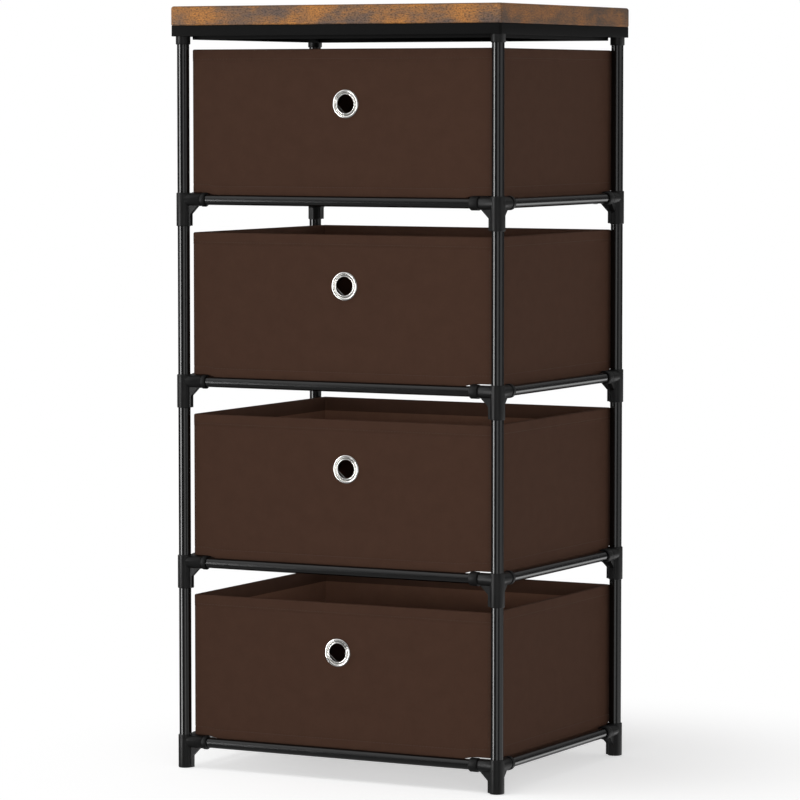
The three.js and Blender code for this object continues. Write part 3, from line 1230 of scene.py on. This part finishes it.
@dataclass
class BoardTop:
    """The board, the channel frame under it, its sockets and its screws."""

    board_radius: float = 3.4 * MM
    board_eases: Pair = (1.2 * MM, 2.8 * MM)
    board_support: float = 0.5 * MM
    board_shares: tuple[float, ...] = (0.9, 0.7, 0.5, 0.3, 0.1)
    painted_shade_steps: int = 3
    frame_radius: float = 3 * MM
    sheet: float = 0.8 * MM
    outer_leg: float = 11.2 * MM
    inner_leg: float = 14.6 * MM
    channel_width: float = 16.6 * MM
    fold_radius: float = 0.7 * MM
    socket_bore: float = 6.7 * MM
    socket_ceiling: float = 2 * MM
    socket_ease: float = 0.6 * MM
    screw_radius: float = 3.4 * MM
    screw_height: float = 1.4 * MM
    screw_shares: Point = (-0.62, 0.0, 0.62)
    step: float = 20 * MM

    def build(self) -> None:
        """Makes the four kinds of piece."""
        self.board()
        self.channel()
        self.sockets()
        self.screws()

    def board(self) -> None:
        """Makes the board, with its edge band and eased arrises, darker at its ends and with painted shade on
        its top arris.
        """
        span = Span("top_board")
        half = span.size / 2
        path = rounded_path(half.x, half.y, self.board_radius, self.step, 8)
        under, over = self.board_eases
        lower = rounded_edge(under, span.low.z, 5)
        upper = rounded_edge(over, span.high.z, 5, upper=True)
        sides = [(0.0, lower[-1][1] + self.board_support), (0.0, upper[0][1] - self.board_support)]
        outline = [(offset, height, height) for offset, height in lower + sides + upper]
        # The last steps of the upper arris take the darker print as painted shade.
        kinds = [0] * (len(outline) - self.painted_shade_steps - 1) + [1] * self.painted_shade_steps + [0]
        form = Form().swept(path, outline, kinds, [self.board_shares] * 2)
        for index, corners in enumerate(form.faces):
            if all(abs(form.points[corner][0]) > half.x - self.board_radius / 3 for corner in corners):
                form.kinds[index] = 1
        put(form.piece("top_board_veneered", WOOD, DARKER_WOOD), "rack", "wood_print", "top_board")

    def channel(self) -> None:
        """Makes the pressed channel, its inner leg longer than its outer leg."""
        span = Span("top_frame")
        half = span.size / 2
        top = span.high.z
        path = rounded_path(half.x, half.y, self.frame_radius, self.step, 8, self.fold_radius)
        outer, inner = -self.sheet, -self.channel_width
        corners = [
            (0.0, top - self.outer_leg), (0.0, top), (inner - self.sheet, top),
            (inner - self.sheet, top - self.inner_leg), (inner, top - self.inner_leg),
            (inner, top - self.sheet), (outer, top - self.sheet), (outer, top - self.outer_leg),
        ]
        outline = [(offset, height, height - offset) for offset, height in eased(corners, self.fold_radius)]
        piece = Form().swept(path, outline, [0] * len(outline)).piece("top_frame_coated", SHEET)
        put(piece, "rack", "black_sheet", "top_frame")

    def sockets(self) -> None:
        """Makes the socket that closes over each post."""
        bore, ease = self.socket_bore, self.socket_ease
        for corner in Corner:
            node = f"top_socket_{corner.label}"
            span = Span(node)
            radius, high = span.size.x / 2, span.size.z
            ceiling = high - self.socket_ceiling
            outline = [
                (0.0, ceiling), (bore, ceiling), (bore, ease / 2), (bore + ease / 2, 0.0),
                (radius - ease, 0.0), (radius - ease / 3, ease / 3), (radius, ease),
                (radius, high - ease), (radius - ease, high), (0.0, high),
            ]
            place = Matrix.Translation((span.middle.x, span.middle.y, span.low.z))
            piece = Form().turned(outline, 48, place).piece(f"{node}_moulded", PLASTIC)
            put(piece, "rack", "black_plastic", node)

    def screws(self) -> None:
        """Sets the screws that hold the board, heads down inside the channel."""
        span = Span("top_frame")
        inset = self.sheet + self.channel_width / 2
        half_x, half_y = span.size.x / 2 - inset, span.size.y / 2 - inset
        height = span.high.z - self.sheet - self.screw_height / 2
        shares = self.screw_shares
        spots = [(share * half_x, side * half_y, height) for share in shares for side in (-1, 1)]
        spots += [(side * half_x, share * half_y, height) for share in shares[::2] for side in (-1, 1)]
        piece = ScrewRecipe().run("frame_screws", PLATE, spots,
                                  Radius=self.screw_radius, Height=self.screw_height)
        put(piece, "rack", "bright_plating")


def facing(spot: Sequence[float]) -> Matrix:
    """Turns +Z to the front and sets it on a spot."""
    return Matrix.Translation(spot) @ Matrix.Rotation(QUARTER_TURN, 4, "X")


@dataclass
class Eyelet:
    """The metal finger hole in a bin's front: flange, barrel, rolled lip and washer."""

    number: int
    bore: float = 9.5 * MM
    mouth: float = 0.3 * MM
    groove: float = 11.1 * MM
    groove_width: float = 0.9 * MM
    crown: float = 2.2 * MM
    crown_power: float = 0.8
    crown_end: float = 2.95
    bead_foot: float = 0.4 * MM
    bead_rise: float = 1.3 * MM
    bead_start: float = 0.3
    barrel_wall: float = 0.8 * MM
    lip_reach: float = 2.2 * MM
    lip_thickness: float = 0.8 * MM
    sides: int = 72

    def build(self) -> None:
        """Makes the eyelet and its washer."""
        self.ring()
        self.washer()

    def plated(self, node: str, outline: Outline, x: float, y: float, z: float) -> None:
        """Turns a piece and sets it on a spot, facing the front."""
        piece = Form().turned(outline, self.sides, facing((x, y, z))).piece(f"{node}_plated", PLATE)
        put(piece, f"bin_{self.number}", "bright_plating", node)

    def ring(self) -> None:
        """Turns the flange, the barrel and the lip in one piece."""
        node = f"bin_{self.number}_eyelet"
        span = Span(node)
        outer = span.size.x / 2
        base = span.low.y + self.crown
        behind = base - span.high.y
        barrel = self.bore + self.barrel_wall
        shore = self.groove + self.groove_width
        middle, band = (shore + outer) / 2, (outer - shore) / 2
        flange = [(middle + band * math.cos(a), self.crown * math.sin(a) ** self.crown_power)
                  for a in np.linspace(0.0, self.crown_end, 14)[1:]]
        foot = self.bead_foot
        bead_middle = ((self.bore + self.groove) / 2, foot)
        bead_radii = ((self.groove - self.bore) / 2, self.bead_rise)
        bead = arc(bead_middle, bead_radii, self.bead_start, math.pi, 9)
        roll = self.lip_thickness / 2
        roll_middle = (barrel + self.lip_reach - roll, behind + roll)
        rolled = arc(roll_middle, (roll, roll), -QUARTER_TURN, QUARTER_TURN, 6)
        outline = [(self.bore + self.mouth, behind), *rolled, (barrel, behind + self.lip_thickness),
                   (barrel, 0.0), (outer, 0.0), *flange, (shore, foot), (self.groove, foot), *bead,
                   (self.bore, behind + foot)]
        self.plated(node, outline, span.middle.x, base, span.middle.z)

    def washer(self) -> None:
        """Turns the washer behind the cloth."""
        node = f"bin_{self.number}_eyelet_washer"
        span = Span(node)
        outer, thick = span.size.x / 2, span.size.y
        hole = self.bore + self.barrel_wall + self.mouth
        outline = eased([(hole, 0.0), (outer, 0.0), (outer, thick), (hole, thick)], thick / 3)
        self.plated(node, outline, span.middle.x, span.high.y, span.middle.z)


@dataclass
class FabricBin:
    """An open bin of non-woven cloth over card, with a hemmed rim and sewn seams."""

    number: int
    stitches: StitchRecipe
    wall: float = 3 * MM
    floor: float = 2 * MM
    corner_radius: float = 1.6 * MM
    inside_radius: float = 1 * MM
    base_round: float = 0.5 * MM
    rim_round: float = 1.7 * MM
    hem_height: float = 12 * MM
    hem_stand: float = 0.2 * MM
    hem_soft: float = 0.9 * MM
    hem_start: float = 0.7
    hem_row: float = 1.9 * MM
    hem_inside: int = 5
    wall_margins: Pair = (8 * MM, 1.5 * MM)
    lining_hem: float = 16 * MM
    lining_stand: float = 0.3 * MM
    lining_soft: float = 1 * MM
    lining_start: float = 3 * MM
    lining_feet: tuple[Pair, Pair] = ((0.6 * MM, 1 * MM), (2.4 * MM, 0.0))
    seam_height: float = 8.5 * MM
    seam_depth: float = 0.2 * MM
    seam_edges: tuple[float, ...] = (-1.6 * MM, -0.4 * MM, 0.2 * MM, 1.2 * MM)
    row_dent: float = 0.15 * MM
    row_width: float = 0.8 * MM
    row_lift: float = 0.05 * MM
    corner_rows: Point = (1.5 * MM, 4 * MM, 3 * MM)
    rest: float = 0.2 * MM
    sag: float = 1.92 * MM
    sag_start: float = 152.6 * MM
    sag_shift: float = 2 * MM
    sag_ramp: float = 5.5 * MM
    sag_fade: float = 30 * MM
    lip: float = 0.6 * MM
    lip_depth: float = 3 * MM
    droop: float = 4.8 * MM
    droop_rest: float = 0.05 * MM
    droop_lift: float = 0.7 * MM
    droop_insets: Pair = (0.1 * MM, 1.9 * MM)
    droop_reach: float = 140.2 * MM
    droop_steps: int = 44
    droop_sides: int = 8
    droop_hold: int = 16
    droop_square: float = 1.35
    droop_keep: float = 0.1
    creases: tuple[float, ...] = (0.955, 0.8965, 0.868, 0.85, 0.7, 0.52, 0.35, 0.2, 0.08)
    corner_hold: float = 12 * MM
    sway: float = 0.28 * MM
    sway_length: float = 85 * MM
    sway_seed: float = 7.3
    sway_squeeze: float = 1.6
    sway_fullness: float = 0.72
    bow: float = 0.22 * MM
    hole_radius: float = 10.3 * MM
    hole_reach: float = 8 * MM
    step: float = 5 * MM
    pitch: float = 3.6 * MM
    stitch_length: float = 1.35 * MM
    thread: float = 0.22 * MM
    card_ease: float = 2.3

    def __post_init__(self) -> None:
        """Reads the bin's place from the frame."""
        self.body = f"bin_{self.number}"
        span = Span(f"{self.body}_fabric")
        self.middle = span.middle
        self.base = span.low.z
        self.height = span.size.z
        self.half_x = span.size.x / 2 - self.hem_stand
        self.half_y = span.size.y / 2 - self.hem_stand
        self.path = rounded_path(self.half_x, self.half_y, self.corner_radius, self.step, 5,
                                 self.inside_radius)

    def build(self) -> None:
        """Makes the cloth, its stitches, the floor card and the eyelet."""
        put(self.cloth(), self.body, "bin_fabric", f"{self.body}_fabric")
        put(self.sewing(), self.body, "bin_fabric")
        put(self.card(), self.body, "bin_board", f"{self.body}_floor_board")
        for side in (-1, 1):
            self.hang(side)
        Eyelet(self.number).build()

    def outer_side(self) -> list[Pair]:
        """Draws the outside of the wall.

        Returns:
            Offsets and heights, from under the base up to the rim.
        """
        stand = self.hem_stand
        low = self.height - self.hem_height
        row = low + self.hem_row
        depths = (0.0, -self.seam_depth, -self.seam_depth, 0.0)
        seam = [(depth, self.seam_height + edge) for depth, edge in zip(depths, self.seam_edges)]
        above, below = self.wall_margins
        wall = [(0.0, height) for height in np.linspace(self.seam_height + above, low - below, 10)]
        hem = [
            (0.0, low - stand), (stand * self.hem_start, low), (stand, low + self.hem_soft),
            (stand, row - self.row_width), (stand - self.row_dent, row), (stand, row + self.row_width),
            (stand, (row + self.height - self.rim_round) / 2),
        ]
        rim = rounded_edge(self.rim_round, self.height, 4, upper=True)
        return rounded_edge(self.base_round, 0.0, 4) + seam + wall + hem + [(stand + o, h) for o, h in rim]

    def inner_side(self) -> list[Pair]:
        """Draws the inside of the wall.

        Returns:
            Offsets and heights, from the rim down to the floor.
        """
        hem = -self.wall - self.lining_stand
        top = self.height - self.rim_round
        low = self.height - self.lining_hem
        crest = self.hem_stand - self.rim_round
        rim = arc((crest, top), (crest - hem, self.rim_round), 1.25 * QUARTER_TURN, 1.75 * QUARTER_TURN, 3)
        wall = [(-self.wall, height) for height in np.linspace(low, self.floor + self.lining_start, 9)]
        feet = [(-self.wall - inset, self.floor + rise) for inset, rise in self.lining_feet]
        return rim + [(hem, top), (hem, low + self.lining_soft)] + wall + feet

    def drift(self, x: float, y: float, height: float) -> float:
        """Gives how far the wall stands out at a point, as worn card and cloth do.

        Args:
            x: Place along the width, from the bin's middle.
            y: Place along the depth, from the bin's middle.
            height: Height above the bin's base.

        Returns:
            The shift outwards.
        """
        hold = math.sin(np.clip(height / self.height, 0.0, 1.0) * math.pi * self.sway_fullness)
        point = Vector((x, y, height * self.sway_squeeze)) / self.sway_length
        point.z += self.sway_seed * self.number
        side = 1 - min(abs(x) / self.half_x, abs(y) / self.half_y) ** 2
        return hold * (self.sway * noise.noise(point) + self.bow * side)

    def settle(self, x: float, y: float, height: float) -> float:
        """Gives how far the base hangs down between the connectors, and the front seam behind its rail.

        Args:
            x: Place along the width, from the rack's middle.
            y: Place along the depth, from the bin's middle.
            height: Height above the bin's base.

        Returns:
            The drop.
        """
        ahead = max(0.5 - y / (2 * self.half_y), 0.0)
        start = self.sag_start + (self.sag_shift * ahead if x < 0 else 0.0)
        share = np.clip((start - abs(x)) / self.sag_ramp, 0.0, 1.0)
        fade = 1 - np.clip(height / self.sag_fade, 0.0, 1.0)
        seam = np.clip(1 - (y + self.half_y) / self.lip_depth, 0.0, 1.0)
        return (self.rest + (self.sag + self.lip * seam) * share * share * (3 - 2 * share)) * fade

    def shaped(self, points: Sequence[Point], wall: bool) -> list[Point]:
        """Moves points from the plain bin about its middle to the worn bin in its place.

        Args:
            points: Points about the bin's middle, heights from its base.
            wall: Whether the points belong to a wall, which drifts away from its corners.

        Returns:
            The moved points.
        """
        moved = []
        for x, y, height in points:
            gaps = (self.half_x - abs(x), self.half_y - abs(y))
            free = min(map(abs, gaps)) < 2 * self.wall and max(gaps) >= self.corner_hold
            shift = self.drift(x, y, height) if wall and free else 0.0
            sideways = abs(x) / self.half_x > abs(y) / self.half_y
            place_x = x + self.middle.x + (math.copysign(shift, x) if sideways else 0.0)
            place_y = y + self.middle.y + (0.0 if sideways else math.copysign(shift, y))
            moved.append((place_x, place_y, self.base + height - self.settle(place_x, y, height)))
        return moved

    def rings(self, half_x: float) -> list[float]:
        """Gives the rings of a level face of some half width, which lie where the base bends."""
        return [crease * self.half_x / half_x for crease in self.creases]

    def cloth(self) -> Thing:
        """Makes the walls, the hems and the floor in one closed shell, with the finger hole cut.

        Returns:
            The cloth.
        """
        outer, inner = self.outer_side(), self.inner_side()
        side = outer + inner
        walked = np.cumsum([0.0, *(math.dist(near, far) for near, far in zip(side, side[1:]))])
        outside = len(outer) - 1 + self.hem_inside
        kinds = [0] * outside + [1] * (len(side) - outside)
        outline = [(*point, length) for point, length in zip(side, walked)]
        lids = [self.rings(self.half_x + end[0]) for end in (side[0], side[-1])]
        form = Form().swept(self.path, outline, kinds, lids)
        form.points = self.shaped(form.points, wall=True)
        # The inner faces take the lighter lining copy of the cloth, as painted light.
        piece = form.piece(f"{self.body}_cloth", CLOTH, LIT_LINING)
        eyelet = Span(f"{self.body}_eyelet").middle
        place = facing((eyelet.x, self.middle.y - self.half_y, eyelet.z))
        hole = rod(self.hole_radius, -self.hole_reach, self.hole_reach, place, CLOTH, LIT_LINING)
        return combined(piece, [("DIFFERENCE", hole)])

    def sewing(self) -> Thing:
        """Makes the stitch rows of the hem, the base seam and the corners.

        Returns:
            All the stitches as one piece.
        """
        rows = ((self.height - self.hem_height + self.hem_row, self.hem_stand),
                (self.seam_height, self.row_lift - self.seam_depth))
        lines = [([(*s.moved(offset), height) for s in self.path], True) for height, offset in rows]
        beside, above, below = self.corner_rows
        heights = np.linspace(self.seam_height + above, self.height - self.hem_height - below, 14)
        inset = self.corner_radius + beside
        for side_x in (-1, 1):
            for side_y in (-1, 1):
                for x, y in ((self.half_x - inset, self.half_y), (self.half_x, self.half_y - inset)):
                    lines.append(([(side_x * x, side_y * y, height) for height in heights], False))
        points: list[Point] = []
        edges: list[Edge] = []
        for line, closed in lines:
            first, count = len(points), len(line)
            points += self.shaped(line, wall=True)
            edges += [(first + k, first + (k + 1) % count) for k in range(count if closed else count - 1)]
        return self.stitches.run(f"{self.body}_stitches", THREAD, points, edges, Pitch=self.pitch,
                                 Length=self.stitch_length, Thickness=self.thread, Seed=self.number)

    def hang(self, side: int) -> None:
        """Makes the cloth that droops under a side wall and flattens over the front rail.

        Args:
            side: -1 for the left wall and 1 for the right wall.
        """
        outer, inner = (self.half_x - inset for inset in self.droop_insets)
        lift = self.droop_lift
        round_angles = [FULL_TURN * turn / self.droop_sides for turn in range(self.droop_sides)]
        section = [((outer + inner) / 2 + (outer - inner) / 2 * math.cos(angle),
                    np.clip(self.droop_square * math.sin(angle), -1.0, 1.0)) for angle in round_angles]
        form = Form()
        rings = []
        for share in np.linspace(-1.0, 1.0, self.droop_steps + 1):
            depth = self.droop_rest + self.droop * (1 - share ** self.droop_hold)
            y = self.middle.y + share * self.droop_reach
            rings.append(form.ring(
                (self.middle.x + side * wide, y, self.base + (lift - depth) / 2 + (lift + depth) / 2 * tall)
                for wide, tall in section))
        for low, high in zip(rings, rings[1:]):
            for corners in form.between(low, high):
                form.facet(corners, side < 0, (1, 2))
        form.facet(rings[0], side > 0, (0, 2))
        form.facet(rings[-1], side < 0, (0, 2))
        label = "right" if side > 0 else "left"
        piece = put(form.piece(f"{self.body}_{label}_droop", CLOTH), self.body, "bin_fabric")
        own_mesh(piece)

    def card(self) -> Thing:
        """Makes the loose floor card, wrapped in cloth.

        Returns:
            The card.
        """
        span = Span(f"{self.body}_floor_board")
        half = span.size / 2
        path = rounded_path(half.x, half.y, self.inside_radius, self.step, 4, self.inside_radius / 3)
        ease = span.size.z / self.card_ease
        side = rounded_edge(ease, span.low.z - self.base, 4)
        side += rounded_edge(ease, span.high.z - self.base, 4, upper=True)
        outline = [(offset, height, height) for offset, height in side]
        form = Form().swept(path, outline, [0] * len(outline), [self.rings(half.x - ease)] * 2)
        form.points = self.shaped(form.points, wall=False)
        # The card takes the lighter lining copy of the cloth, as painted light.
        return form.piece(f"{self.body}_floor_card", LIT_LINING)


class Reach(Enum):
    """What a lamp does: it lights surfaces, or it is mirrored in gloss."""

    LIGHT = (True, False)
    SHINE = (False, True)


@dataclass(frozen=True)
class Lamp:
    """A soft rectangular lamp aimed at the object, placed by angles from its front."""

    name: str
    azimuth: float
    elevation: float
    distance: float
    width: float
    height: float
    radiance: float
    reach: Reach

    def hang(self, target: Vector) -> None:
        """Hangs the lamp.

        Args:
            target: The point that it is aimed at.
        """
        data = bpy.data.lights.new(self.name, "AREA")
        data.shape = "RECTANGLE"
        data.size = self.width
        data.size_y = self.height
        data.energy = self.radiance * math.pi * self.width * self.height
        lamp = bpy.data.objects.new(self.name, data)
        lamp.visible_diffuse, lamp.visible_glossy = self.reach.value
        turn, rise = math.radians(self.azimuth), math.radians(self.elevation)
        flat = math.cos(rise)
        back = Vector((math.sin(turn) * flat, -math.cos(turn) * flat, math.sin(rise)))
        lamp.location = target + back * self.distance
        lamp.rotation_mode = "QUATERNION"
        lamp.rotation_quaternion = (-back).to_track_quat("-Z", "Y")
        bpy.context.scene.collection.objects.link(lamp)


@dataclass
class Studio:
    """Camera, lamps, world and floor."""

    lens: float = 187.72
    sensor: float = 36.0
    camera_spot: Point = (2.0512, -3.8922, 0.7037)
    camera_turn: Pair = (85.856, 27.82)
    camera_clip: float = 60.0
    ambient: float = 0.19
    mirror_low: float = 0.08
    mirror_side: float = 0.8
    mirror_floor: float = 2.4
    mirror_near: float = 0.1
    mirror_back: float = 0.35
    mirror_front: float = 0.2
    mirror_left: float = 1.3
    horizon_glow: float = 4.6
    floor_half: float = 12.0
    floor_drop: float = 0.4 * MM
    floor_grey: Colour = (0.96, 0.96, 0.96, 1.0)
    floor_lift: float = 0.52
    shade_middle: Point = (0.1, 0.02, 0.0)
    shade_reach: Pair = (0.16, 0.56)
    white: Colour = (1.0, 1.0, 1.0, 1.0)
    lamps: tuple[Lamp, ...] = (
        Lamp("strip_left", -43.0, -3.6, 3.2, 1.1, 1.6, 10.5, Reach.SHINE),
        Lamp("strip_front", 27.0, -4.0, 2.7, 1.4, 1.5, 1.25, Reach.SHINE),
        Lamp("low_band", 34.0, 5.0, 3.4, 2.4, 0.45, 7.6, Reach.LIGHT),
        Lamp("overhead", -30.0, 64.0, 3.0, 2.3, 1.6, 2.2, Reach.LIGHT),
    )

    def build(self) -> None:
        """Sets up the camera, the lamps, the world and the floor."""
        self.camera()
        for lamp in self.lamps:
            lamp.hang((CAD_BOX[0] + CAD_BOX[1]) / 2)
        self.world()
        self.floor()

    def camera(self) -> None:
        """Places the camera where the photograph was taken from."""
        data = bpy.data.cameras.new("camera")
        data.lens = self.lens
        data.sensor_width = self.sensor
        data.clip_end = self.camera_clip
        camera = bpy.data.objects.new("camera", data)
        pitch, turn = self.camera_turn
        camera.location = self.camera_spot
        camera.rotation_euler = (math.radians(pitch), 0.0, math.radians(turn))
        bpy.context.scene.collection.objects.link(camera)
        bpy.context.scene.camera = camera

    def room(self, nodes: Nodes, side: Signal, back: Signal, up: Signal) -> Signal:
        """Gives the light level that gloss mirrors in each direction.

        Args:
            nodes: The world's tree; not used.
            side: How far the direction points to the right.
            back: How far it points to the back.
            up: How far it points up.

        Returns:
            The level.
        """
        behind = back.ramp(-0.1, 0.7)
        before = (0.6 * side - back).ramp(0.3, 0.85)
        ceiling = up.ramp(0.05, 0.55)
        ceiling = ceiling * (1.0 - (1.0 - self.mirror_back) * behind - (1.0 - self.mirror_front) * before)
        open_floor = self.mirror_near + (1.0 - self.mirror_near) * (behind * side.ramp(0.15, 0.35))
        room = self.mirror_low + (1.0 - self.mirror_low) * ceiling
        room = room + self.mirror_floor * ((-1.0 * up).ramp(0.08, 0.3) * open_floor)
        room = room + self.mirror_side * side.ramp(0.86, 0.97)
        return room + self.mirror_left * (-1.0 * side).ramp(0.5, 0.75) * up.ramp(0.02, 0.2)

    def world(self) -> None:
        """Gives the world a white background, a mirrored room and a plain ambient level."""
        world = bpy.data.worlds.new("studio")
        world.use_nodes = True
        world.node_tree.nodes.clear()
        nodes = Nodes(world.node_tree)
        seen = (nodes.ray("Camera") + nodes.ray("Transmission")).ramp(0.0, 1.0, False)
        mirrored = nodes.ray("Glossy")
        way = nodes.add("ShaderNodeTexCoord", output="Generated")
        side, back, up = (nodes.axis(way, name) for name in "XYZ")
        glow = up.ramp(-0.02, 0.03) * (1.0 - up.ramp(0.1, 0.16))
        soft = self.ambient + self.horizon_glow * glow
        room = self.room(nodes, side, back, up)
        level = seen + (1.0 - seen) * (mirrored * room + (1.0 - mirrored) * soft)
        backdrop = nodes.add("ShaderNodeBackground", None, {"Color": self.white, "Strength": level})
        nodes.add("ShaderNodeOutputWorld", None, {"Surface": backdrop})
        bpy.context.scene.world = world
        bpy.context.scene.view_settings.view_transform = "Standard"

    def floor(self) -> None:
        """Lays a pale floor that keeps the shadow and fades to white away from the object."""
        mesh = bpy.data.meshes.new("floor")
        corners = ((-1, -1), (1, -1), (1, 1), (-1, 1))
        spots = [(x * self.floor_half, y * self.floor_half, -self.floor_drop) for x, y in corners]
        mesh.from_pydata(spots, [], [(0, 1, 2, 3)])
        floor = placed("floor", mesh)
        floor.visible_glossy = False
        shading = Shading("studio_floor")
        away = shading.add("ShaderNodeVectorMath", {"operation": "DISTANCE"},
                           {0: shading.place(), 1: self.shade_middle}, "Value")
        straight = shading.ray("Camera")
        lit = shading.add("ShaderNodeBsdfDiffuse", None, {"Color": self.floor_grey})
        lift = {"Color": self.white, "Strength": straight * self.floor_lift}
        lift = shading.add("ShaderNodeEmission", None, lift)
        lifted = shading.add("ShaderNodeAddShader", None, {0: lit, 1: lift})
        glow = shading.add("ShaderNodeEmission", None, {"Color": self.white, "Strength": 1.0})
        fade = straight * away.ramp(*self.shade_reach)
        mix = shading.add("ShaderNodeMixShader", None, {0: fade, 1: lifted, 2: glow})
        shading.add("ShaderNodeOutputMaterial", None, {"Surface": mix})
        mesh.materials.append(shading.material)


def main() -> None:
    """Builds the studio, the rack, the top and the bins."""
    logging.basicConfig(level=logging.INFO, format="%(name)s: %(message)s")
    Studio().build()
    TubeRack().build()
    CornerConnector.build()
    BoardTop().build()
    stitches = StitchRecipe()
    for number in TIERS:
        FabricBin(number, stitches).build()


if __name__ == "__main__":
    main()
